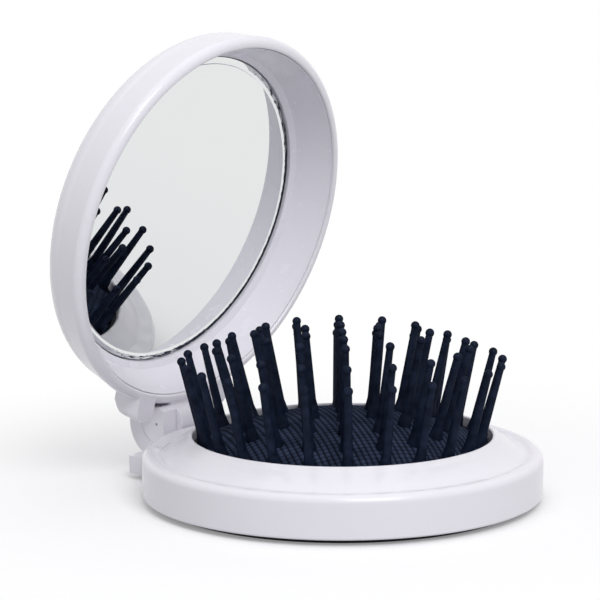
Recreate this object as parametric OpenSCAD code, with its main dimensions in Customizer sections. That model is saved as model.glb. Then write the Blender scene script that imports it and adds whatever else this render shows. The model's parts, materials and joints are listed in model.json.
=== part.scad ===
// Folding hairbrush with mirror: a round base with a cushion of ball-tipped pins that sinks into it,
// and a round lid with a mirror, hinged at the back.
// Millimetres, +Z up. The origin is the middle of the base on the surface that it rests on.
// The hinge is at +Y and its axis runs along X. The lid is drawn shut and then turned to its open rest.

/* [Base] */
// Outer radius of the base
base_r = 34; // [33.8:0.1:34.4]
// Height of the skirt's lower edge above the table
skirt_lift = 1; // [0.8:0.1:1.2]
// Height at which the skirt turns into the rounded rim
skirt_top = 6.9; // [6.8:0.1:7]
// Radius of the rounded rim
rim_r = 1.4; // [1.3:0.1:1.5]
// Radius of the aperture that the cushion rises through
aperture_r = 25.4; // [25.3:0.1:25.5]
// Height of the aperture's edge
aperture_z = 11.1; // [11:0.1:11.2]
// Inner radius of the guide that the push cup slides in
guide_r = 26.6; // [26.5:0.1:26.7]
// Wall thickness of the mouldings
wall = 1.2; // [1.1:0.1:1.3]

/* [Cushion] */
// Radius of the cushion at its edge
pad_r = 24.6; // [24.5:0.1:24.7]
// Height of the cushion's edge
pad_edge_z = 9.3; // [9.2:0.1:9.4]
// Height of the cushion's crown
pad_top_z = 14.7; // [14.5:0.1:14.9]
// Thickness of the rubber
pad_t = 0.8; // [0.6:0.1:0.9]
// Travel of the push cup
cup_travel = 7.8; // [7.7:0.1:7.8]

/* [Pins] */
// Spacing of the pin rings at the cushion
ring_pitch = 5.85; // [5.8:0.05:5.85]
// Radius of a pin's foot
foot_r = 1.2; // [1.1:0.05:1.25]
// Height of a pin's flared foot
foot_h = 2.2; // [1.8:0.1:2.6]
// Radius of a pin's shaft above its foot
shaft_r = 0.82; // [0.76:0.02:0.86]
// Radius of a pin's neck under its ball
neck_r = 0.6; // [0.54:0.02:0.64]
// Radius of a pin's ball tip
ball_r = 0.76; // [0.72:0.02:0.8]
// Turn of the pin pattern from the hinge
pin_turn = 10; // [0:1:30]

/* [Hinge] */
// Distance of the hinge axis behind the middle of the base
hinge_y = 36.7; // [36.6:0.1:36.8]
// Height of the hinge axis
hinge_z = 8.9; // [8.9:0.05:9]
// Angle between the lid's open rest and the shut lid
open_angle = 75.8; // [75:0.1:77]
// Radius of the hinge pin
pin_r = 0.6; // [0.5:0.05:0.7]
// Half of the lid's centre knuckle
knuckle_half = 2.9; // [2.7:0.1:2.9]
// Half of the whole row of knuckles
row_half = 6.3; // [6.2:0.1:6.6]
// Half of the width over the lid's ears and the base's rear blocks
ear_half = 12; // [11.8:0.1:12.2]

/* [Lid] */
// Outer radius of the lid at its lip
lid_r = 33.7; // [33.5:0.1:33.8]
// Radius of the mirror
mirror_r = 28; // [27.8:0.1:28]
// Depth of the mirror's face below the lip
mirror_depth = 8; // [7.9:0.1:8]
// Thickness of the mirror
mirror_t = 1.1; // [1:0.1:1.2]
// Overall thickness of the lid at its edge
lid_t = 10.35; // [10.3:0.05:10.5]
// Rise of the lid's back from its edge to its middle
lid_crown = 0.95; // [0.5:0.05:1.2]

/* [Hidden] */
$fn = 96;
small_fn = 32;
eps = 0.01;

white = "#e9e7f2";
navy = "#1b1e2e";
steel = "#b9bcc4";
silver = "#dfe4ea";

// Base, worked out
rim_c = base_r - rim_r;
valley_c = rim_c - 1.58;
valley_z = skirt_top + 2.13;
valley_r = 1.2;
skirt_in = base_r - 1.6;
ledge_z = 9.25;
guide_out = guide_r + wall;
guide_foot = 2.2;
cover_lip_r = 25.75;
cover_lip_t = 0.6;
cover_r = skirt_in - 0.1;
cover_top = guide_foot - 0.1;
foot_in = 28;
foot_out = 31.6;
peg_circle = 30;
peg_r = 0.8;
pegs = 6;
fit_gap = 0.05;

// Push cup, worked out
cup_bottom = 0.3 + cup_travel;
cup_floor = cup_bottom + 0.5;
cup_flange_r = 26.35;
cup_flange_z = cup_bottom + 0.4;
cup_flange_top = ledge_z - 0.05;
cup_r = aperture_r - 0.3;

// Cushion, worked out
dome_h = pad_top_z - pad_edge_z;
dome_r = (pad_r * pad_r + dome_h * dome_h) / (2 * dome_h);
dome_c = pad_top_z - dome_r;
socket = 0.25;

// Height of the cushion's surface at radius r
function dome_z(r) = dome_c + sqrt(dome_r * dome_r - r * r);

// Pins: how many stand in each ring, and where their ball tips are
ring_count = [1, 6, 12, 18, 24];
tip_r = [0, 7.1, 14.8, 21.5, 27.1];
tip_z = [28.4, 28.4, 28.2, 26, 23.6];
rim = 4;
rim_group = 3;

// Lid, worked out; heights are above the lip, which shuts onto the plane of the hinge axis
lip_r = 1.4;
lip_in = 31.8;
lip_step = 0.5;
back_c = 28.4;
back_r = 4.45;
wall_top = lid_t - back_r;
lid_floor = wall_top + lip_in - back_c;
crown_r = (back_c * back_c + lid_crown * lid_crown) / (2 * lid_crown);
liner_r = lip_in - 0.08;
bezel_r = 29.3;
bezel_depth = 6.9;
seat_r = mirror_r + 0.25;
seat_depth = 7.55;
ribs = 12;

// Hinge, worked out
knuckle_r = 3;
nose_r = 6.4;
nose_in = 3.5;
nose_start = 10.8;
lug_front = 35;
lug_back = 37.9;
ear_in = 7.7;
ear_end = 35.65;
ear_round = 1.6;
ear_top = 5.7;
block_back = 38.6;
block_top = 4.1;
block_round = 1;

// ---------- Helpers ----------

// Points of an arc about c from angle a to angle b
function arc(c, r, a, b, n) =
    [for (i = [0:n]) c + r * [cos(a + (b - a) * i / n), sin(a + (b - a) * i / n)]];

// Extrudes a profile drawn in the YZ plane along X, from x0 to x1
module along_x(x0, x1) {
    translate([x0, 0, 0]) rotate([90, 0, 90]) linear_extrude(x1 - x0) children();
}

// Both mirror images about the plane x = 0
module both_sides() {
    children();
    mirror([1, 0, 0]) children();
}

// Flat strip from x0 to x1 and y0 to y1 whose far corners are rounded
module round_ended(x0, x1, y0, y1, r) {
    translate([x0, y0]) square([x1 - x0, y1 - r - y0]);
    translate([x0 + r, y0]) square([x1 - x0 - 2 * r, y1 - y0]);
    for (x = [x0 + r, x1 - r]) {
        translate([x, y1 - r]) circle(r, $fn = small_fn);
    }
}

// Turns what is drawn for the shut lid to the lid's open rest
module opened() {
    translate([0, hinge_y, hinge_z]) rotate([-open_angle, 0, 0])
        translate([0, -hinge_y, -hinge_z]) children();
}

// Lid profile heights to world heights, lip downwards
module shut() {
    translate([0, 0, hinge_z]) children();
}

// ---------- Base ----------

// Half section of the base shell: skirt, rounded rim, soft valley, cone and guide wall
module base_section() {
    polygon(concat(
        [[skirt_in, skirt_lift], [base_r - 0.4, skirt_lift]],
        arc([base_r - 0.4, skirt_lift + 0.4], 0.4, -90, 0, 4),
        arc([rim_c, skirt_top], rim_r, 0, 115, 12),
        arc([valley_c, valley_z], valley_r, -65, -126, 6),
        [[29.1, 8.95], [28, 9.68], [26.9, 10.33]],
        arc([aperture_r + 0.35, aperture_z - 0.35], 0.35, 60, 180, 5),
        [
            [aperture_r, ledge_z], [guide_r, ledge_z], [guide_r, guide_foot],
            [guide_out, guide_foot], [guide_out, 8.5], [30.9, 6.2], [skirt_in, 5.4],
        ]
    ));
}

// Space between the guide wall and the skirt, where ribs and bosses stand
module base_cavity_section() {
    polygon([
        [guide_out - 0.2, guide_foot], [guide_out - 0.2, 8.8],
        [30.95, 6.5], [skirt_in + 0.2, 5.7], [skirt_in + 0.2, guide_foot],
    ]);
}

// Ribs and peg bosses that tie the guide wall to the skirt
module base_ribs() {
    intersection() {
        rotate_extrude() base_cavity_section();
        union() {
            for (i = [0:2 * pegs - 1]) {
                rotate([0, 0, i * 180 / pegs]) translate([guide_out - 0.5, -0.4, guide_foot])
                    cube([6, 0.8, 8]);
            }
            for (i = [0:pegs - 1]) {
                rotate([0, 0, i * 360 / pegs]) translate([peg_circle, 0, guide_foot])
                    cylinder(r = 1.7, h = 8, $fn = small_fn);
            }
        }
    }
}

// Flat land that fills the valley in front of the hinge
module hinge_land() {
    translate([0, 0, 6.4]) linear_extrude(skirt_top + rim_r - 6.4) intersection() {
        circle(rim_c);
        polygon([[-18.5, 25], [-8.5, 28.8], [8.5, 28.8], [18.5, 25], [18.5, 34], [-18.5, 34]]);
    }
}

// Rear block of the base, with its corners rounded
module rear_block() {
    translate([0, 0, skirt_lift]) linear_extrude(block_top - skirt_lift)
        round_ended(-ear_half, ear_half, 30, block_back, block_round);
}

// Side view of a hinge lug, with the sloping stop that the lid's nose comes to rest against
module lug_section() {
    stop = nose_start - open_angle - 1;
    far = hinge_y + nose_r * cos(stop);
    near_z = hinge_z + knuckle_r * sin(stop);
    translate([32, skirt_lift]) square([lug_back - 32, skirt_top - 0.6 - skirt_lift]);
    polygon([
        [36, skirt_lift], [far, skirt_lift], [far, hinge_z + nose_r * sin(stop)],
        [hinge_y + knuckle_r * cos(stop), near_z], [36, near_z],
    ]);
    intersection() {
        union() {
            translate([hinge_y, hinge_z]) circle(knuckle_r);
            translate([lug_front, skirt_top - 1]) square([lug_back - lug_front, hinge_z - skirt_top + 1]);
        }
        translate([lug_front, skirt_top - 1]) square([lug_back - lug_front, 8]);
    }
}

// Round backs of the two lugs, which fill the hollow of the lid's nose
module lug_backs() {
    both_sides() along_x(knuckle_half + 0.1, row_half)
        translate([hinge_y, hinge_z]) intersection() {
            circle(nose_in - 0.15);
            translate([0, -nose_in]) square([nose_in, nose_in + 2.9]);
        }
}

module base_shell() {
    color(white) difference() {
        union() {
            rotate_extrude() base_section();
            base_ribs();
            hinge_land();
            difference() {
                union() {
                    rear_block();
                    along_x(-row_half, row_half) lug_section();
                    lug_backs();
                }
                translate([0, 0, -1]) cylinder(r = skirt_in + 0.5, h = 20);
            }
        }
        // Room for the lid's centre knuckle
        translate([-knuckle_half - 0.1, hinge_y, hinge_z]) rotate([0, 90, 0])
            cylinder(r = knuckle_r + 0.15, h = 2 * knuckle_half + 0.2);
        // Bore for the hinge pin, with a small witness hole at its blind end
        translate([-row_half + 0.7, hinge_y, hinge_z]) rotate([0, 90, 0])
            cylinder(r = pin_r + 0.02, h = 2 * row_half, $fn = small_fn);
        translate([-row_half - 1, hinge_y, hinge_z]) rotate([0, 90, 0])
            cylinder(r = 0.25, h = 3, $fn = small_fn);
        // Bores for the cover's pegs
        for (i = [0:pegs - 1]) {
            rotate([0, 0, i * 360 / pegs]) translate([peg_circle, 0, -1])
                cylinder(r = peg_r + fit_gap, h = 6, $fn = small_fn);
        }
    }
}

// Ring that closes the underside, with the foot that the brush stands on and a lip that keeps the cup in
module base_cover() {
    color(navy) {
        rotate_extrude() polygon([
            [cover_lip_r, 0], [26.9, 0], [26.9, 0.6], [foot_in, 0.6], [foot_in, 0],
            [foot_out - 0.3, 0], [foot_out, 0.3], [foot_out, skirt_lift + 0.1],
            [cover_r, skirt_lift + 0.1], [cover_r, cover_top], [guide_r + 0.05, cover_top],
            [guide_r + 0.05, cover_lip_t], [cover_lip_r, cover_lip_t],
        ]);
        for (i = [0:pegs - 1]) {
            rotate([0, 0, i * 360 / pegs]) translate([peg_circle, 0, cover_top - 0.5])
                cylinder(r = peg_r, h = 3, $fn = small_fn);
        }
    }
}

module hinge_pin() {
    color(steel) translate([-row_half + 0.75, hinge_y, hinge_z]) rotate([0, 90, 0])
        cylinder(r = pin_r, h = 2 * row_half - 0.75, $fn = small_fn);
}

// ---------- Cushion ----------

// Push button and tray in one: a disc with a finger dish below, a flange that stops it and a rim round the rubber
module push_cup() {
    color(navy) rotate_extrude() polygon(concat(
        [[0, cup_bottom + 0.1], [9, cup_bottom + 0.1], [10, cup_bottom]],
        [
            [cover_lip_r - 0.2, cup_bottom], [cover_lip_r - 0.2, cup_flange_z],
            [cup_flange_r, cup_flange_z], [cup_flange_r, cup_flange_top],
            [cup_r, cup_flange_top], [cup_r, cup_floor], [0, cup_floor],
        ]
    ));
}

// Ring that holds the rubber's edge down in the cup
module pad_ring() {
    color(navy) rotate_extrude() polygon([
        [pad_r + 0.05, cup_floor + 0.02], [cup_r - 0.05, cup_floor + 0.02],
        [cup_r - 0.05, pad_edge_z + 0.15], [pad_r + 0.2, pad_edge_z + 0.15],
        [pad_r + 0.05, pad_edge_z],
    ]);
}

// Places its children at pins a to b of ring k, foot at the cushion's surface and axis along the pin
module at_pins(k, a, b) {
    foot = k * ring_pitch;
    rise = tip_z[k] - dome_z(foot);
    lean = atan2(tip_r[k] - foot, rise);
    for (i = [a:b]) {
        rotate([0, 0, 90 + pin_turn + i * 360 / ring_count[k]]) translate([foot, 0, dome_z(foot)])
            rotate([0, lean, 0]) children();
    }
}

// Length of a pin of ring k from the cushion's surface to the middle of its ball
function pin_length(k) =
    norm([tip_r[k] - k * ring_pitch, tip_z[k] - dome_z(k * ring_pitch)]);

module cushion_pad() {
    color(navy) difference() {
        rotate_extrude() intersection() {
            union() {
                difference() {
                    translate([0, dome_c]) circle(dome_r, $fn = 360);
                    translate([0, dome_c]) circle(dome_r - pad_t, $fn = 360);
                }
                translate([pad_r - 2.2, cup_floor + 0.02])
                    square([2.2, pad_edge_z - cup_floor - 0.02]);
            }
            union() {
                translate([0, 10]) square([pad_r - 2.2, 6]);
                translate([0, cup_floor + 0.02]) square([pad_r, 6]);
            }
        }
        for (k = [0:rim]) {
            at_pins(k, 0, ring_count[k] - 1) translate([0, 0, -socket])
                cylinder(r = foot_r + 0.02, h = 2, $fn = small_fn);
        }
    }
}

// Pins a to b of ring k: a flared foot, a tapering shaft and a ball tip
module bristles(k, a, b) {
    length = pin_length(k);
    ball_base = sqrt(ball_r * ball_r - neck_r * neck_r);
    color(navy) at_pins(k, a, b) rotate_extrude($fn = small_fn) polygon(concat(
        [
            [0, -socket + eps], [foot_r, -socket + eps], [foot_r, 0.2],
            [shaft_r, foot_h], [neck_r, length - ball_base],
        ],
        arc([0, length], ball_r, -acos(neck_r / ball_r), 90, 8)
    ));
}

// All the pins of ring k
module ring(k) {
    bristles(k, 0, ring_count[k] - 1);
}

// Group g of the outermost ring's pins, which tilt together
module rim_pins(g) {
    bristles(rim, rim_group * (g - 1), rim_group * g - 1);
}

module bristle_centre() { ring(0); }
module bristle_ring_1() { ring(1); }
module bristle_ring_2() { ring(2); }
module bristle_ring_3() { ring(3); }
module bristle_rim_1() { rim_pins(1); }
module bristle_rim_2() { rim_pins(2); }
module bristle_rim_3() { rim_pins(3); }
module bristle_rim_4() { rim_pins(4); }
module bristle_rim_5() { rim_pins(5); }
module bristle_rim_6() { rim_pins(6); }
module bristle_rim_7() { rim_pins(7); }
module bristle_rim_8() { rim_pins(8); }

// ---------- Lid, drawn shut ----------

// Half section of the lid's outer shell
module lid_section() {
    polygon(concat(
        arc([lid_r - lip_r, lip_r], lip_r, 0, -90, 8),
        arc([lip_in + 0.4, 0.4], 0.4, -90, -180, 4),
        arc([back_c, wall_top], lip_in - back_c, 0, 90, 10),
        [[0, lid_floor]],
        [for (i = [0:12]) let (r = back_c * i / 12)
            [r, lid_t + lid_crown - crown_r + sqrt(crown_r * crown_r - r * r)]],
        arc([back_c, wall_top], back_r, 88, 0, 12)
    ));
}

// Side view of the lid's hinge nose; it turns about the pin with an outer radius of nose_r
module nose_section(inner) {
    difference() {
        union() {
            intersection() {
                translate([hinge_y, hinge_z]) circle(nose_r);
                translate([hinge_y, hinge_z]) polygon([
                    [0, 0], 12 * [cos(nose_start), sin(nose_start)], [12, 12], [0, 12],
                ]);
            }
            translate([31, hinge_z + nose_in]) square([hinge_y - 31, nose_r - nose_in]);
        }
        translate([hinge_y, hinge_z]) circle(inner);
    }
}

// The two ears beside the knuckles: upright bars on the lid's wall, rounded along their outer side
module ears() {
    both_sides() intersection() {
        translate([0, 0, hinge_z]) linear_extrude(ear_top)
            round_ended(ear_in, ear_half, 29, ear_end, ear_round);
        along_x(ear_in - 1, ear_half + 1) translate([0, hinge_z]) polygon([
            [28, 0], [ear_end + 0.1, 0], [ear_end + 0.1, 2.6], [ear_end - 0.6, 4.3],
            [33, ear_top], [28, ear_top],
        ]);
    }
}

module lid_shell() {
    color(white) opened() difference() {
        union() {
            shut() rotate_extrude() lid_section();
            difference() {
                union() {
                    ears();
                    along_x(-row_half + 0.1, row_half - 0.1) nose_section(nose_in);
                    along_x(-knuckle_half, knuckle_half) {
                        nose_section(eps);
                        translate([hinge_y, hinge_z]) circle(knuckle_r);
                        translate([31, hinge_z + 0.4]) square([hinge_y - 31, 4]);
                    }
                }
                shut() translate([0, 0, -eps]) cylinder(r = lip_in + 0.3, h = lid_floor);
            }
        }
        translate([-row_half - 1, hinge_y, hinge_z]) rotate([0, 90, 0])
            cylinder(r = pin_r + fit_gap, h = 2 * row_half + 2, $fn = small_fn);
    }
}

// Ring inside the lid: a sloping bezel, a step and the frame round the mirror, with ribs behind
module lid_liner() {
    color(white) opened() shut() {
        rotate_extrude() polygon([
            [liner_r, lip_step], [liner_r - 0.12, lip_step], [bezel_r, bezel_depth],
            [seat_r, seat_depth], [seat_r, lid_floor - 0.05], [back_c, lid_floor - 0.05],
            [seat_r + wall, lid_floor - 0.35],
            [seat_r + wall, bezel_depth + 1.3], [bezel_r + wall, bezel_depth],
            [liner_r, 3.4],
        ]);
        intersection() {
            rotate_extrude() polygon(concat(
                arc([back_c, wall_top], liner_r - back_c, 0, 85, 8),
                [[seat_r + 0.5, bezel_depth + 1], [bezel_r + 0.6, bezel_depth], [liner_r, 3]]
            ));
            for (i = [0:ribs - 1]) {
                rotate([0, 0, (i + 0.5) * 360 / ribs]) translate([seat_r, -0.4, 0]) cube([5, 0.8, 12]);
            }
        }
    }
}

module mirror_glass() {
    color(silver) opened() shut() translate([0, 0, mirror_depth])
        rotate_extrude() polygon([
            [0, 0], [mirror_r - 0.2, 0], [mirror_r, 0.2], [mirror_r, mirror_t], [0, mirror_t],
        ]);
}

// Double-sided pad that holds the mirror on the lid
module mirror_tape() {
    color("#8a8d92") opened() shut() translate([0, 0, mirror_depth + mirror_t + 0.01])
        cylinder(r = mirror_r - 2, h = lid_floor - mirror_depth - mirror_t - 0.02);
}

base_shell();
base_cover();
hinge_pin();
push_cup();
pad_ring();
cushion_pad();
bristle_centre();
bristle_ring_1();
bristle_ring_2();
bristle_ring_3();
bristle_rim_1();
bristle_rim_2();
bristle_rim_3();
bristle_rim_4();
bristle_rim_5();
bristle_rim_6();
bristle_rim_7();
bristle_rim_8();
lid_shell();
lid_liner();
mirror_glass();
mirror_tape();
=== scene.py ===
"""Folding hairbrush with a mirror in its lid: the dressed part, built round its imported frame.

Metres, +Z up. The middle of the round base is the origin, on the surface that the brush rests on. The
hinge is at +Y with its axis along X, and the lid is drawn at its open rest.
"""

import functools
import json
import logging
import math
from dataclasses import dataclass
from enum import Enum

import bpy
import numpy as np
from mathutils import Matrix, Vector


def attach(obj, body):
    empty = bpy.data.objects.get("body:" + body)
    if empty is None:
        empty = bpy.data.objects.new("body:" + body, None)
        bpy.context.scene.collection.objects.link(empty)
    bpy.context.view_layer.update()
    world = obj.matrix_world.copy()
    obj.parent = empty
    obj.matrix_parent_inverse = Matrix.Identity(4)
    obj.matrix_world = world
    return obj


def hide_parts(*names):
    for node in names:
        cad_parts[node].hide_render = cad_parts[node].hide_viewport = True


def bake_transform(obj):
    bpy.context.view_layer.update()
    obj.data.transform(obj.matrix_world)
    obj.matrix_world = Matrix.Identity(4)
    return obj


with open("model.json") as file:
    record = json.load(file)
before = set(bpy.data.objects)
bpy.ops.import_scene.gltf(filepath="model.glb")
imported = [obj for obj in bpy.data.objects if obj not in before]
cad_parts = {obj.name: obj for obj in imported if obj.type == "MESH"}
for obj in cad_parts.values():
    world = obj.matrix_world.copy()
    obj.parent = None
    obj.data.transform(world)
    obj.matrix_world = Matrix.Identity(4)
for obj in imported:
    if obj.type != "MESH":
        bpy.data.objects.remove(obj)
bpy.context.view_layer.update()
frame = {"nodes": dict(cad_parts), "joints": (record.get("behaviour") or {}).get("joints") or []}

LOG = logging.getLogger("hairbrush")
MM = 0.001
TURN = 2.0 * math.pi
# The span that most of a noise's values lie in
NOISE_LOW, NOISE_HIGH = 0.3, 0.7
# A Mix node's two colours and its result, whose names its other kinds of socket share
MIX_FIRST, MIX_SECOND, MIX_RESULT = 6, 7, 2
PLAIN_WHITE = (1.0, 1.0, 1.0, 1.0)

Colour = tuple[float, float, float]
Point = tuple[float, float, float]
Socket = bpy.types.NodeSocket
Settings = dict[str | int, object]


def tone(code: str) -> Colour:
    """Turns a colour as a screen shows it into the linear colour that a shader takes.

    Each channel c of 0 to 1 becomes ((c + offset) / (1 + offset)) to the power, or c / slope below the knee.

    Args:
        code: six hexadecimal digits, two each for red, green and blue.

    Returns:
        Red, green and blue, linear, 0 to 1.
    """
    offset, power, slope, knee = 0.055, 2.4, 12.92, 0.04045
    channels = np.array([int(code[i : i + 2], 16) for i in (0, 2, 4)]) / 255.0
    linear = np.where(channels > knee, ((channels + offset) / (1.0 + offset)) ** power, channels / slope)
    return tuple(float(c) for c in linear)


def scaled(colour: Colour, factor: float | Colour) -> Colour:
    """Returns a colour times one factor, or times one factor for each of its channels."""
    return tuple(float(c) for c in np.array(colour) * factor)


# ---------- Materials ----------


class Slot(Enum):
    """The record's material slots for the mirror and the rubber."""

    MIRROR = "mirror"
    RUBBER = "navy_rubber"


class Nodes:
    """A tree of shader nodes that grows step by step."""

    def __init__(self, tree: bpy.types.NodeTree) -> None:
        """Takes a tree as it is.

        Args:
            tree: the tree that new nodes go into.
        """
        self.tree = tree

    def node(self, kind: str, values: Settings | None = None, **settings: object) -> bpy.types.Node:
        """Adds a node.

        Args:
            kind: the node's type, without its ShaderNode prefix.
            values: what goes into its sockets, by socket name or number; a socket is linked, a value is set.
            settings: the node's own settings.

        Returns:
            The new node.
        """
        made = self.tree.nodes.new("ShaderNode" + kind)
        for key, value in settings.items():
            setattr(made, key, value)
        for key, value in (values or {}).items():
            if isinstance(value, Socket):
                self.tree.links.new(value, made.inputs[key])
            else:
                made.inputs[key].default_value = value
        return made

    def maths(self, operation: str, *terms: float | Socket) -> Socket:
        """Adds a Math node on one or two terms, and returns its result."""
        return self.node("Math", dict(enumerate(terms)), operation=operation).outputs[0]

    def ranged(
        self,
        value: Socket,
        low: float,
        high: float,
        start: float = NOISE_LOW,
        end: float = NOISE_HIGH,
        **settings: object,
    ) -> Socket:
        """Carries values over from one span to another, and stops at its ends.

        Args:
            value: what is carried over.
            low: the result at the start of the value's span.
            high: the result at its end.
            start: where the value's span starts.
            end: where it ends.
            settings: the Map Range node's own settings.

        Returns:
            The result.
        """
        values = {"Value": value, "From Min": start, "From Max": end, "To Min": low, "To Max": high}
        return self.node("MapRange", values, **settings).outputs[0]

    def seen(self) -> Socket:
        """Tells the rays that look at things from those that only light them.

        Returns:
            1 for camera, glossy and transmission rays, and 0 for the others.
        """
        path = self.node("LightPath")
        found = path.outputs["Is Camera Ray"]
        for kind in ("Is Glossy Ray", "Is Transmission Ray"):
            found = self.maths("MAXIMUM", found, path.outputs[kind])
        return found


class Shader(Nodes):
    """One node material, whose patterns lie on Object coordinates unless they are told otherwise."""

    def __init__(self, name: str) -> None:
        """Starts an empty material.

        Args:
            name: the material's name.
        """
        self.material = bpy.data.materials.new(name)
        self.material.use_nodes = True
        super().__init__(self.material.node_tree)
        self.tree.nodes.clear()
        self.output = self.node("OutputMaterial")
        self.place = self.node("TexCoord").outputs["Object"]

    def noise(self, size: float, detail: float = 2.0, at: Socket | None = None) -> Socket:
        """Adds a noise whose blotches are about `size` metres across, and returns its value of 0 to 1."""
        values = {"Vector": at or self.place, "Scale": 1.0 / size, "Detail": detail}
        return self.node("TexNoise", values).outputs["Fac"]

    def mixed(self, share: Socket, first: Colour | Socket, second: Colour) -> Socket:
        """Mixes two colours.

        Args:
            share: how much of the second colour there is, 0 to 1.
            first: the first colour, or the socket that gives it.
            second: the second colour.

        Returns:
            The mixed colour.
        """
        start = first if isinstance(first, Socket) else (*first, 1.0)
        values = {"Factor": share, MIX_FIRST: start, MIX_SECOND: (*second, 1.0)}
        return self.node("Mix", values, data_type="RGBA").outputs[MIX_RESULT]

    def bump(self, height: Socket, depth: float, under: Socket | None = None) -> Socket:
        """Adds relief to a normal.

        Args:
            height: the relief's height, 0 to 1.
            depth: how high 1 stands, in metres.
            under: the normal that it is added to, which is the surface's own if none is given.

        Returns:
            The new normal.
        """
        values: Settings = {"Height": height, "Distance": depth, "Strength": 1.0}
        if under is not None:
            values["Normal"] = under
        return self.node("Bump", values).outputs[0]

    def end(self, surface: Socket) -> bpy.types.Material:
        """Ends in this surface, and returns the material."""
        self.tree.links.new(surface, self.output.inputs["Surface"])
        return self.material

    def finish(self, values: Settings) -> bpy.types.Material:
        """Ends in a Principled shader with these socket values, and returns the material."""
        return self.end(self.node("BsdfPrincipled", values).outputs[0])


@dataclass(frozen=True)
class GlossPlastic:
    """Glossy moulded plastic: even colour, a soft moulding ripple and a faint haze in its gloss.

    Lengths are in metres, and each _size is how far across its noise's blotches are.
    """

    name: str
    colour: Colour
    roughness: float = 0.2
    sharper: float = 0.03
    duller: float = 0.05
    haze_size: float = 4.0 * MM
    drift_size: float = 18.0 * MM
    drift_tone: float = 0.965
    ripple: float = 1.4e-5
    ripple_size: float = 9.0 * MM
    grain: float = 6.0e-7
    grain_size: float = 0.22 * MM
    ior: float = 1.49
    glow: float = 0.05
    glow_reach: Colour = (0.0012, 0.0011, 0.0013)

    def make(self) -> bpy.types.Material:
        """Makes the material. Its tone drifts over centimetres, its gloss and its ripple over millimetres.

        Returns:
            The material.
        """
        s = Shader(self.name)
        drift = s.noise(self.drift_size, detail=3.0)
        haze = s.noise(self.haze_size, detail=4.0)
        relief = s.bump(s.noise(self.ripple_size, detail=1.0), self.ripple)
        relief = s.bump(s.noise(self.grain_size), self.grain, relief)
        return s.finish({
            "Base Color": s.mixed(drift, scaled(self.colour, self.drift_tone), self.colour),
            "Roughness": s.ranged(haze, self.roughness - self.sharper, self.roughness + self.duller),
            "Normal": relief,
            "IOR": self.ior,
            "Subsurface Weight": self.glow,
            "Subsurface Radius": self.glow_reach,
            "Subsurface Scale": 1.0,
        })


@dataclass(frozen=True)
class SatinPlastic:
    """Satin moulded plastic or nylon: fine grain and a slightly uneven sheen. Lengths are in metres."""

    name: str
    colour: Colour
    lighter: Colour
    roughness: float
    shine: float
    sharper: float = 0.06
    duller: float = 0.08
    streak_size: float = 1.6 * MM
    grain: float = 3.0e-6
    grain_size: float = 0.12 * MM
    ior: float = 1.5
    coat: float = 0.0
    coat_roughness: float = 0.16

    def make(self) -> bpy.types.Material:
        """Makes the material, of fine grain and streaks of sheen, under a clear coat if it has one.

        Returns:
            The material.
        """
        s = Shader(self.name)
        streak = s.noise(self.streak_size, detail=3.0)
        return s.finish({
            "Base Color": s.mixed(s.ranged(streak, 0.0, 1.0), self.colour, self.lighter),
            "Roughness": s.ranged(streak, self.roughness - self.sharper, self.roughness + self.duller),
            "Normal": s.bump(s.noise(self.grain_size), self.grain),
            "IOR": self.ior,
            "Specular IOR Level": self.shine,
            "Coat Weight": self.coat,
            "Coat Roughness": self.coat_roughness,
        })


@dataclass(frozen=True)
class Weave:
    """Straight ribs side by side, cut across into short blocks, like a coarse cloth.

    The angle, in radians, is from +X to the way across the ribs. Lengths are in metres.
    """

    angle: float = math.radians(-36.1)
    pitch: float = 0.99 * MM
    block: float = 1.13 * MM
    rib_power: float = 0.7
    cut_power: float = 0.3

    def height(self, x: np.ndarray, y: np.ndarray) -> np.ndarray:
        """Works out the weave's height.

        With s the distance across the ribs and t the distance along them, it is |sin(pi s / pitch)| to the
        rib power times |sin(pi t / block)| to the cut power.

        Args:
            x: how far along X each point is, in metres.
            y: how far along Y it is.

        Returns:
            The height at each point, 0 to 1.
        """
        s = x * math.cos(self.angle) + y * math.sin(self.angle)
        t = y * math.cos(self.angle) - x * math.sin(self.angle)
        rib = np.abs(np.sin(np.pi * s / self.pitch)) ** self.rib_power
        return rib * np.abs(np.sin(np.pi * t / self.block)) ** self.cut_power

    def shade(self, s: Shader) -> Socket:
        """Works out the same height inside a material.

        Args:
            s: the material that it is for.

        Returns:
            The height, 0 to 1.
        """
        cosine, sine = math.cos(self.angle), math.sin(self.angle)
        factors = []
        for (x, y), step, power in (
            ((cosine, sine), self.pitch, self.rib_power),
            ((-sine, cosine), self.block, self.cut_power),
        ):
            dot = s.node("VectorMath", {0: s.place, 1: (x, y, 0.0)}, operation="DOT_PRODUCT")
            wave = s.maths("SINE", s.maths("MULTIPLY", dot.outputs["Value"], math.pi / step))
            factors.append(s.maths("POWER", s.maths("ABSOLUTE", wave), power))
        return s.maths("MULTIPLY", *factors)


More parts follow.
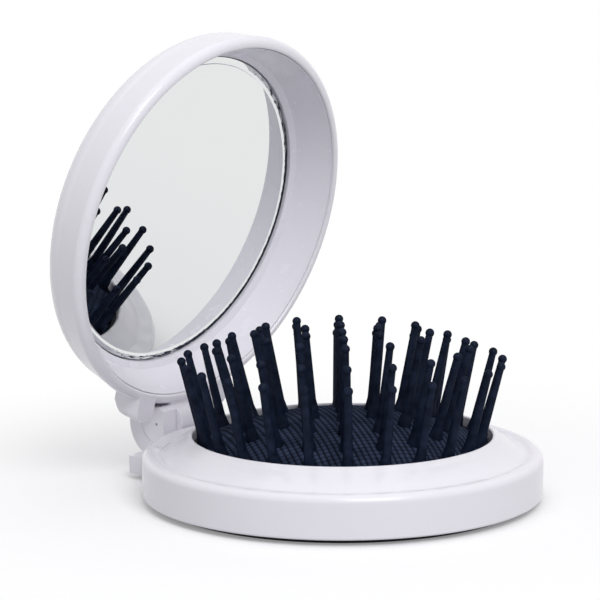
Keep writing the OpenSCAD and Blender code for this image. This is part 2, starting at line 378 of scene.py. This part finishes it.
@dataclass(frozen=True)
class WovenRubber:
    """Soft rubber moulded with a weave, its tone painted with shade in the troughs and light on the crests.
    Lengths are in metres.
    """

    name: str
    # The first colour is painted shade in the weave's troughs, the second a painted highlight on its crests
    colour: Colour
    lit_crest: Colour
    weave: Weave
    roughness: float = 0.55
    trough_roughness: float = 0.65
    relief: float = 1.6e-4
    grain: float = 4.0e-6
    grain_size: float = 0.09 * MM
    patches_size: float = 4.0 * MM
    dimmest_patches: float = 0.55
    ior: float = 1.5
    shine: float = 0.005

    def make(self) -> bpy.types.Material:
        """Makes the material. The weave's own height, once more, sets painted shade and light and sharpens
        the relief.

        Returns:
            The material.
        """
        s = Shader(self.name)
        weave = self.weave.shade(s)
        relief = s.bump(weave, self.relief)
        relief = s.bump(s.noise(self.grain_size), self.grain, relief)
        # Random patches where the painted light on the crests is dimmer
        patches = s.ranged(s.noise(self.patches_size, detail=3.0), self.dimmest_patches, 1.0)
        return s.finish({
            # Painted shade in the troughs and painted light on the crests of the weave
            "Base Color": s.mixed(s.maths("MULTIPLY", weave, patches), self.colour, self.lit_crest),
            "Roughness": s.ranged(weave, self.trough_roughness, self.roughness, 0.0, 1.0),
            "Normal": relief,
            "IOR": self.ior,
            "Specular IOR Level": self.shine,
        })


@dataclass(frozen=True)
class DrawnSteel:
    """Drawn wire: fine lines along X. Lengths are in metres."""

    name: str
    colour: Colour
    stretch: Point = (0.02, 1.0, 1.0)
    mark_size: float = 0.08 * MM
    mark_tone: float = 0.8
    relief: float = 2.0e-6
    smooth: float = 0.22
    rough: float = 0.4

    def make(self) -> bpy.types.Material:
        """Makes the material. Noise that is stretched along X gives the drawing marks.

        Returns:
            The material.
        """
        s = Shader(self.name)
        stretched = s.node("Mapping", {"Vector": s.place, "Scale": self.stretch}).outputs[0]
        marks = s.noise(self.mark_size, detail=3.0, at=stretched)
        return s.finish({
            "Base Color": s.mixed(marks, scaled(self.colour, self.mark_tone), self.colour),
            "Metallic": 1.0,
            "Roughness": s.ranged(marks, self.smooth, self.rough),
            "Normal": s.bump(marks, self.relief),
        })


@dataclass(frozen=True)
class Silvering:
    """Mirror silver behind clear glass, with the faintest haze and a painted reflection of the dark pins
    along its bevel.

    The piece's UV map holds the turn round the axis, 0 to 1, and the distance from the axis in metres. The
    painted reflection starts about `edge` metres from the axis, and its patches mostly lie round one angle,
    in radians, on the side where the reflection is darkest.
    """

    name: str
    colour: Colour
    # The second colour is a painted reflection of the dark pins, laid on the bevel in patches
    painted_reflection: Colour
    edge: float
    edge_blur: float = 2.0e-5
    edge_stray: float = 1.2e-4
    edge_stray_size: float = 1.1 * MM
    reflection_size: float = 2.2 * MM
    reflection_squeeze: float = 9.0
    reflection_start: float = 0.63
    reflection_end: float = 0.66
    # The side, in radians, where the painted reflection of the pins is widest
    darkest_side: float = 0.5
    darkest_side_share: float = 0.34
    painted_reflection_roughness: float = 0.3
    haze_size: float = 6.0 * MM
    haze_tint: Colour = (0.985, 0.995, 1.0)
    haze_smooth: float = 0.004
    haze_rough: float = 0.014

    def reflection_mask(self, s: Shader) -> Socket:
        """Works out where the painted reflection of the dark pins lies along the bevel.

        A noise on the distance round the edge and the distance from the axis, squeezed across the edge,
        gives the patches of painted reflection, and a second one makes the line that they start at stray.

        Args:
            s: the material that it is for.

        Returns:
            1 where the painted reflection is, and 0 where the silver is plain.
        """
        where = s.node("SeparateXYZ", {0: s.node("UVMap").outputs[0]})
        turn, out = where.outputs[0], where.outputs[1]
        along = s.maths("MULTIPLY", turn, TURN * self.edge)
        across = s.maths("MULTIPLY", out, self.reflection_squeeze)
        strip = s.node("CombineXYZ", {0: along, 1: across}).outputs[0]
        stray = s.ranged(s.noise(self.edge_stray_size, detail=3.0, at=strip), -self.edge_stray, self.edge_stray)
        start, end = self.edge - self.edge_blur, self.edge + self.edge_blur
        beyond = s.ranged(s.maths("ADD", out, stray), 0.0, 1.0, start, end)
        # The painted reflection is widest on the side where the dark pins show in the bevel
        side = s.maths("COSINE", s.maths("SUBTRACT", s.maths("MULTIPLY", turn, TURN), self.darkest_side))
        share = s.maths("MULTIPLY", side, self.darkest_side_share)
        patches = s.maths("ADD", s.noise(self.reflection_size, detail=4.0, at=strip), share)
        return s.maths("MULTIPLY", beyond, s.ranged(patches, 0.0, 1.0, self.reflection_start, self.reflection_end))

    def make(self) -> bpy.types.Material:
        """Makes the material, of faintly hazy silver with a painted navy reflection of the dark pins along
        the bevel.

        Returns:
            The material.
        """
        s = Shader(self.name)
        haze = s.noise(self.haze_size, detail=3.0)
        reflected = self.reflection_mask(s)
        silver = s.mixed(haze, scaled(self.colour, self.haze_tint), self.colour)
        matt = s.maths("MULTIPLY", reflected, self.painted_reflection_roughness)
        return s.finish({
            # Painted reflection of the dark pins, in navy, where the mask is 1
            "Base Color": s.mixed(reflected, silver, self.painted_reflection),
            "Metallic": 1.0,
            "Roughness": s.maths("ADD", s.ranged(haze, self.haze_smooth, self.haze_rough), matt),
        })


@dataclass(frozen=True)
class FoamTape:
    """Thin double-sided tape: open foam between two films. Lengths are in metres."""

    name: str
    colour: Colour
    cell: float = 0.25 * MM
    cell_tone: float = 0.7
    relief: float = 2.0e-5
    roughness: float = 0.85

    def make(self) -> bpy.types.Material:
        """Makes the material, with open cells in relief and in tone.

        Returns:
            The material.
        """
        s = Shader(self.name)
        values = {"Vector": s.place, "Scale": 1.0 / self.cell}
        cells = s.node("TexVoronoi", values).outputs["Distance"]
        return s.finish({
            "Base Color": s.mixed(cells, scaled(self.colour, self.cell_tone), self.colour),
            "Roughness": self.roughness,
            "Normal": s.bump(cells, self.relief),
        })


Finish = GlossPlastic | SatinPlastic | WovenRubber | DrawnSteel | Silvering | FoamTape

WHITE = GlossPlastic("white_gloss", tone("ebe9f1"))
WHITE_INSIDE = GlossPlastic("white_gloss_inside", tone("eae8f2"), roughness=0.24, ripple=1.1e-5)
NAVY_BODY = SatinPlastic("navy_satin", tone("14161e"), tone("1a1d27"), roughness=0.42, shine=0.1)
NAVY_NYLON = SatinPlastic(
    "navy_nylon", tone("111726"), tone("1f273b"), roughness=0.4, shine=0.0, grain=2.0e-6, coat=0.09
)
# Near-black is painted shade in the weave's troughs, the lighter navy a painted highlight on its crests
NAVY_RUBBER = WovenRubber("navy_rubber", tone("03050a"), tone("3e4861"), Weave())
STEEL = DrawnSteel("drawn_steel", tone("c9cacf"))
FOAM = FoamTape("foam_tape", tone("a5a7ab"))


@functools.cache
def material_of(finish: Finish) -> bpy.types.Material:
    """Returns a finish's material, which is made only once."""
    return finish.make()


def dress(nodes: list[str], finish: Finish) -> None:
    """Gives CAD nodes a finish.

    Args:
        nodes: the nodes' names.
        finish: what they are made of.
    """
    for name in nodes:
        for place in frame["nodes"][name].material_slots:
            place.material = material_of(finish)
        LOG.info("%s: %s", name, finish.name)


# ---------- Meshes ----------


def new_piece(
    name: str, points: np.ndarray, corners: np.ndarray, sizes: np.ndarray, uv: np.ndarray
) -> bpy.types.Object:
    """Puts a smooth mesh into the scene.

    Args:
        name: the piece's name.
        points: its vertices, one row of x, y and z each, in metres.
        corners: the vertex at each corner of its faces, one face after another.
        sizes: how many corners each face has.
        uv: its UV map, one row of u and v for each corner.

    Returns:
        The new object, which stands at the origin.
    """
    mesh = bpy.data.meshes.new(name)
    mesh.vertices.add(len(points))
    mesh.vertices.foreach_set("co", points.astype(np.float32).ravel())
    mesh.loops.add(len(corners))
    mesh.loops.foreach_set("vertex_index", corners.astype(np.int32))
    mesh.polygons.add(len(sizes))
    mesh.polygons.foreach_set("loop_start", (np.cumsum(sizes) - sizes).astype(np.int32))
    layer = mesh.uv_layers.new(name="UVMap")
    layer.data.foreach_set("uv", uv.astype(np.float32).ravel())
    mesh.update(calc_edges=True)
    mesh.validate()
    mesh.shade_smooth()
    made = bpy.data.objects.new(name, mesh)
    bpy.context.scene.collection.objects.link(made)
    return made


def angles(columns: int) -> np.ndarray:
    """Returns the angles of so many columns in equal steps round the axis, from 0, in radians."""
    return np.arange(columns) * TURN / columns


def lathe(name: str, radius: np.ndarray, height: np.ndarray) -> bpy.types.Object:
    """Makes a closed surface of revolution about +Z.

    Point (i, j) of the grid is x = r cos a, y = r sin a, z = h, where r and h are radius and height at
    (i, j) and the angle a goes round in equal steps with j. The first and the last row stand on the axis,
    and each becomes one vertex, which closes the pole. Rows that run outwards over the top and back
    underneath give outward faces.

    Args:
        name: the piece's name.
        radius: distance from the axis in metres, a row for each profile point and a column for each angle.
        height: height in metres, in the same layout.

    Returns:
        The new object, with a UV map of (turn, radius in metres).
    """
    rows, columns = radius.shape
    angle = angles(columns)
    grid = np.stack([radius * np.cos(angle), radius * np.sin(angle), height], axis=-1)
    poles = [grid[0].mean(0, keepdims=True), grid[-1].mean(0, keepdims=True)]
    points = np.concatenate([*poles, grid[1:-1].reshape(-1, 3)])

    # Vertices 0 and 1 are the poles, and ring holds the first vertex of each row between them
    here = np.arange(columns)
    after = (here + 1) % columns
    ring = len(poles) + columns * np.arange(rows - len(poles))[:, None]
    near, far = ring[:-1], ring[1:]
    quads = np.stack([near + here, far + here, far + after, near + after], axis=-1)
    crown = np.stack([np.full(columns, 0), ring[0] + here, ring[0] + after], axis=-1)
    foot = np.stack([np.full(columns, 1), ring[-1] + after, ring[-1] + here], axis=-1)
    corners = np.concatenate([quads.ravel(), crown.ravel(), foot.ravel()])
    sizes = np.concatenate([np.full(columns * len(near), 4), np.full(2 * columns, 3)])

    quad_turn = np.tile(np.stack([here, here, here + 1, here + 1], axis=-1), (len(near), 1, 1))
    crown_turn = np.stack([here + 0.5, here, here + 1], axis=-1)
    foot_turn = np.stack([here + 0.5, here + 1, here], axis=-1)
    turn = np.concatenate([quad_turn.ravel(), crown_turn.ravel(), foot_turn.ravel()]) / columns
    out = np.hypot(points[:, 0], points[:, 1])[corners]
    return new_piece(name, points, corners, sizes, np.stack([turn, out], axis=-1))


# ---------- Sub-assemblies ----------


@dataclass
class Base:
    """The round base: its shell, the cover ring under it and the hinge pin."""

    shell: str = "base_shell"
    cover: str = "base_cover"
    pin: str = "hinge_pin"

    def build(self) -> None:
        """Dresses the base's own pieces."""
        dress([self.shell], WHITE)
        dress([self.cover], NAVY_BODY)
        dress([self.pin], STEEL)


@dataclass
class Cushion:
    """The woven rubber cushion, with the cup that carries it and the ring round it.

    Sizes are in metres. The rubber should follow the cup below `low` and the inner pins above `high`, but
    nothing here reads these two.
    """

    radius: float = 24.6 * MM
    edge: float = 9.3 * MM
    crown: float = 14.7 * MM
    thickness: float = 0.45 * MM
    edge_round: float = 0.5 * MM
    edge_lip: float = 0.1 * MM
    edge_inset: float = 0.05 * MM
    finish: WovenRubber = NAVY_RUBBER
    weave_depth: float = 0.14 * MM
    step: float = 0.25 * MM
    bend_steps: int = 5
    under_rows: int = 9
    columns: int = 720
    low: float = 9.4 * MM
    high: float = 14.3 * MM

    def dome(self, r: np.ndarray) -> np.ndarray:
        """Works out the dome, which is a piece of a sphere through the edge and the crown.

        Args:
            r: distances from the axis, in metres.

        Returns:
            The height at each, in metres.
        """
        rise = self.crown - self.edge
        ball = (self.radius**2 + rise**2) / (2.0 * rise)
        return self.crown - ball + np.sqrt(ball**2 - r**2)

    def surface(self) -> bpy.types.Object:
        """Makes the cushion.

        Over the top, z = dome(r) plus the weave's depth times its height less a half, faded out towards the
        rounded edge. Underneath, the same dome without the weave lies one thickness lower, and its outermost
        row stands the inset further in than the edge and the lip lower than the round.

        Returns:
            The new piece.
        """
        flat = self.radius - self.edge_round
        out = np.linspace(0.0, flat, int(round(flat / self.step)) + 1)
        bend = np.linspace(0.0, np.pi / 2.0, self.bend_steps + 1)[1:]
        corner = self.dome(np.array([flat]))[0] - self.edge_round
        back = np.linspace(self.radius - self.edge_inset, 0.0, self.under_rows)
        under = np.where(back > flat, corner - self.edge_lip, self.dome(back) - self.thickness)
        r = np.concatenate([out, flat + self.edge_round * np.sin(bend), back])
        z = np.concatenate([self.dome(out), corner + self.edge_round * np.cos(bend), under])

        weave = self.finish.weave
        angle = angles(self.columns)
        radius = np.broadcast_to(r[:, None], (len(r), self.columns))
        over = np.arange(len(r)) < len(out)
        fade = np.clip((flat - r) / weave.pitch, 0.0, 1.0) * over
        relief = weave.height(radius * np.cos(angle), radius * np.sin(angle)) - 0.5
        return lathe("cushion", radius, z[:, None] + self.weave_depth * relief * fade[:, None])

    def build(self) -> None:
        """Builds the cushion and dresses the cup and the ring round it."""
        pad = self.surface()
        pad.data.materials.append(material_of(self.finish))
        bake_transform(pad)
        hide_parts("cushion_pad")
        LOG.info("%s: %d faces", pad.name, len(pad.data.polygons))
        dress(["push_cup", "pad_ring"], NAVY_BODY)


@dataclass
class Pins:
    """The ball-tipped pins: a centre pin, three rings and the rim's groups of three."""

    rings: int = 3
    rim_groups: int = 8

    def build(self) -> None:
        """Dresses every pin."""
        names = ["bristle_centre"]
        names += [f"bristle_ring_{k + 1}" for k in range(self.rings)]
        names += [f"bristle_rim_{g + 1}" for g in range(self.rim_groups)]
        dress(names, NAVY_NYLON)


@dataclass
class Lid:
    """The lid: its shell, the liner with the frame round the mirror, and the tape behind the mirror."""

    shell: str = "lid_shell"
    liner: str = "lid_liner"
    tape: str = "mirror_tape"

    def build(self) -> None:
        """Dresses the lid's own pieces."""
        dress([self.shell], WHITE)
        dress([self.liner], WHITE_INSIDE)
        dress([self.tape], FOAM)


@dataclass
class Mirror:
    """The round mirror, with a groove and a hand-ground bevel round its face.

    Sizes are in metres. In the shut lid the mirror's face is the depth above the hinge's axis. Faces that
    meet at more than the sharp angle, in degrees, show an edge. The groove strays by a sum of sines, each
    with its own count of waves round the mirror, its phase in radians and its height.
    """

    radius: float = 28.0 * MM
    depth: float = 8.0 * MM
    thickness: float = 1.1 * MM
    back_inset: float = 0.2 * MM
    back_drop: float = 0.15 * MM
    edge_land: float = 0.1 * MM
    bevel: float = 0.72 * MM
    bevel_fall: float = 0.07 * MM
    bevel_sway: float = 0.35
    bevel_shares: tuple[float, ...] = (0.04, 0.5, 1.0)
    groove: float = 0.58 * MM
    groove_depth: float = 0.13 * MM
    groove_wall: float = 0.09 * MM
    face_ring: float = 0.2 * MM
    waver: float = 0.07 * MM
    waves: tuple[int, ...] = (3, 7, 12, 19, 31, 53)
    phases: tuple[float, ...] = (0.4, 2.1, 5.0, 1.3, 3.7, 0.9)
    heights: tuple[float, ...] = (0.26, 0.22, 0.18, 0.14, 0.12, 0.08)
    columns: int = 720
    sharp_angle: float = 6.0
    hinge: str = "lid_hinge"

    def finish(self) -> Silvering:
        """Returns the mirror's finish, whose painted reflection of the dark pins starts where the bevel
        does.
        """
        # The navy is a painted reflection of the dark pins along the bevel
        return Silvering("mirror_silver", tone("e6e7e7"), tone("1a2033"), edge=self.radius - self.bevel)

    def to_lid(self) -> Matrix:
        """Works out the move from a mirror at the origin that faces down to its place in the open lid.

        It goes up to its place in the shut lid, and then turns about the hinge by the hinge's whole range.

        Returns:
            The move.
        """
        joint = next(j for j in frame["joints"] if j["name"] == self.hinge)
        hinge = Vector(joint["pos_m"])
        turn = Matrix.Rotation(-math.radians(max(joint["range_deg"])), 4, "X")
        drawn = Matrix.Translation((0.0, 0.0, joint["pos_m"][2] + self.depth))
        return Matrix.Translation(hinge) @ turn @ Matrix.Translation(-hinge) @ drawn

    def stray(self) -> np.ndarray:
        """Returns how far the groove strays at each angle: a sum of sines, which is 1 at most."""
        waves, phases, heights = (np.array(v)[:, None] for v in (self.waves, self.phases, self.heights))
        return (heights * np.sin(waves * angles(self.columns) + phases)).sum(0)

    def surface(self) -> bpy.types.Object:
        """Makes the mirror as a disc that faces down.

        The profile runs over the flat back and its rounded rim, down the upright edge to the land above the
        bevel, along the bevel with rows at its shares of the width, down to the groove's bottom, up its
        steep inner wall and over the flat face. The groove wavers with the angle, and the bevel's fall does
        so too, a fifth of a turn later.

        Returns:
            The new piece.
        """
        stray = self.stray()
        middle = np.zeros(self.columns)
        rim = np.full(self.columns, self.radius)
        inner = rim - self.bevel + self.waver * stray
        fall = self.bevel_fall * (1.0 + self.bevel_sway * np.roll(stray, self.columns // 5))
        floor = inner - self.groove + self.groove_wall
        face = inner - self.groove
        profile = [
            (middle, self.thickness),
            (0.5 * rim, self.thickness),
            (rim - self.back_inset, self.thickness),
            (rim, self.thickness - self.back_drop),
            (rim, fall + self.edge_land),
            *((rim - (rim - inner) * share, fall * (1.0 - share)) for share in self.bevel_shares),
            (0.5 * (inner + floor), 0.5 * self.groove_depth),
            (floor, self.groove_depth),
            (face, 0.0),
            (face - self.face_ring, 0.0),
            (0.5 * inner, 0.0),
            (middle, 0.0),
        ]
        radius = np.array([r for r, _ in profile])
        height = np.array([np.broadcast_to(h, stray.shape) for _, h in profile])
        disc = lathe("mirror_disc", radius, height)
        disc.data.set_sharp_from_angle(angle=math.radians(self.sharp_angle))
        return disc

    def build(self) -> None:
        """Builds the mirror in place of its plain disc."""
        disc = self.surface()
        disc.data.transform(self.to_lid())
        disc.data.update()
        disc.data.materials.append(material_of(self.finish()))
        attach(disc, "lid")
        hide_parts("mirror_glass")
        LOG.info("%s: %d faces", disc.name, len(disc.data.polygons))


# ---------- Surroundings ----------


@dataclass(frozen=True)
class Lamp:
    """One soft box. Lengths are in metres, and the power is in watts."""

    name: str
    at: Point
    size: float
    power: float
    target: Point = (0.0, 0.01, 0.03)

    def build(self) -> None:
        """Hangs the soft box where it is and turns it to its target."""
        data = bpy.data.lights.new(self.name, "AREA")
        data.shape = "SQUARE"
        data.size = self.size
        data.energy = self.power
        lamp = bpy.data.objects.new(self.name, data)
        lamp.location = self.at
        lamp.rotation_euler = (Vector(self.target) - Vector(self.at)).to_track_quat("-Z", "Y").to_euler()
        bpy.context.scene.collection.objects.link(lamp)


@dataclass
class Studio:
    """A pale floor, an even white surround, soft boxes and the camera.

    Lengths are in metres, but the lens and the sensor are in millimetres. Angles are in degrees. The floor
    is pale as far as `near` from the origin and white to look at from `far` on.
    """

    floor_radius: float = 6.0
    floor_sides: int = 64
    floor_thickness: float = 1.0 * MM
    floor_gap: float = 0.02 * MM
    floor_tones: tuple[Colour, Colour] = (tone("e5e5e7"), tone("e7e7e9"))
    floor_grain: float = 0.03
    near: float = 0.036
    far: float = 0.12
    lift: float = 0.2
    bounce: Colour = (0.57, 0.57, 0.58)
    ambient: float = 0.57
    lamps: tuple[Lamp, ...] = (
        Lamp("overhead", (-0.05, 0.05, 0.85), size=0.9, power=1.3),
        Lamp("front", (-0.38, -0.62, 0.7), size=0.5, power=4.4),
    )
    eye: Point = (-0.3404, -0.2653, 0.1037)
    azimuth: float = -51.13
    elevation: float = 9.18
    roll: float = -0.27
    lens: float = 156.0
    sensor: float = 36.0
    clip_start: float = 0.01
    clip_end: float = 50.0

    def surround(self) -> None:
        """Makes the world: white to look at, and a plain even light on everything."""
        world = bpy.data.worlds.new("surround")
        bpy.context.scene.world = world
        world.use_nodes = True
        nodes = Nodes(world.node_tree)
        background = nodes.tree.nodes["Background"]
        background.inputs["Color"].default_value = PLAIN_WHITE
        level = nodes.ranged(nodes.seen(), self.ambient, 1.0, 0.0, 1.0)
        nodes.tree.links.new(level, background.inputs["Strength"])

    def floor_finish(self) -> bpy.types.Material:
        """Makes the floor's material: pale and shaded near the brush, and white to look at further out.

        Returns:
            The material.
        """
        s = Shader("pale_floor")
        seen = s.seen()
        reach = s.node("VectorMath", {0: s.place}, operation="LENGTH").outputs["Value"]
        fade = s.ranged(reach, 0.0, 1.0, self.near, self.far, interpolation_type="SMOOTHSTEP")
        pale = s.mixed(s.noise(self.floor_grain, detail=3.0), *self.floor_tones)
        colour = s.mixed(s.maths("SUBTRACT", 1.0, seen), pale, self.bounce)
        matt = s.node("BsdfDiffuse", {"Color": colour}).outputs[0]
        glow = {"Color": PLAIN_WHITE, "Strength": s.maths("MULTIPLY", seen, self.lift)}
        lifted = s.node("AddShader", {0: matt, 1: s.node("Emission", glow).outputs[0]}).outputs[0]
        white = s.node("Emission", {"Color": PLAIN_WHITE}).outputs[0]
        share = s.maths("MULTIPLY", fade, seen)
        return s.end(s.node("MixShader", {0: share, 1: lifted, 2: white}).outputs[0])

    def floor(self) -> None:
        """Makes the floor, a thin round sheet just under the brush."""
        out = np.array([0.0, 0.5, 1.0, 1.0, 0.0]) * self.floor_radius
        down = np.array([0.0, 0.0, 0.0, -1.0, -1.0]) * self.floor_thickness - self.floor_gap
        shape = (len(out), self.floor_sides)
        radius, height = (np.broadcast_to(line[:, None], shape) for line in (out, down))
        sheet = lathe("floor", radius, height)
        sheet.data.shade_flat()
        sheet.data.materials.append(self.floor_finish())

    def camera(self) -> None:
        """Sets up the camera.

        Its back points along (sin a cos e, -cos a cos e, sin e), with a the azimuth and e the elevation,
        and it rolls about that.
        """
        a, e = math.radians(self.azimuth), math.radians(self.elevation)
        back = Vector((math.sin(a) * math.cos(e), -math.cos(a) * math.cos(e), math.sin(e)))
        right = Vector((math.cos(a), math.sin(a), 0.0))
        level = Matrix((right, back.cross(right), back)).transposed()
        turn = level @ Matrix.Rotation(math.radians(self.roll), 3, "Z")
        data = bpy.data.cameras.new("camera")
        data.lens = self.lens
        data.sensor_width = self.sensor
        data.clip_start = self.clip_start
        data.clip_end = self.clip_end
        shown = bpy.data.objects.new("camera", data)
        shown.matrix_world = Matrix.Translation(self.eye) @ turn.to_4x4()
        bpy.context.scene.collection.objects.link(shown)
        bpy.context.scene.camera = shown

    def build(self) -> None:
        """Sets up everything round the brush."""
        bpy.context.scene.view_settings.view_transform = "Standard"
        self.surround()
        self.floor()
        self.camera()
        for lamp in self.lamps:
            lamp.build()


def main() -> None:
    """Builds the sub-assemblies in order, then the surroundings."""
    logging.basicConfig(level=logging.INFO, format="%(name)s: %(message)s")
    for part in (Base(), Cushion(), Pins(), Lid(), Mirror(), Studio()):
        part.build()
        LOG.info("%s done", type(part).__name__)


if __name__ == "__main__":
    main()
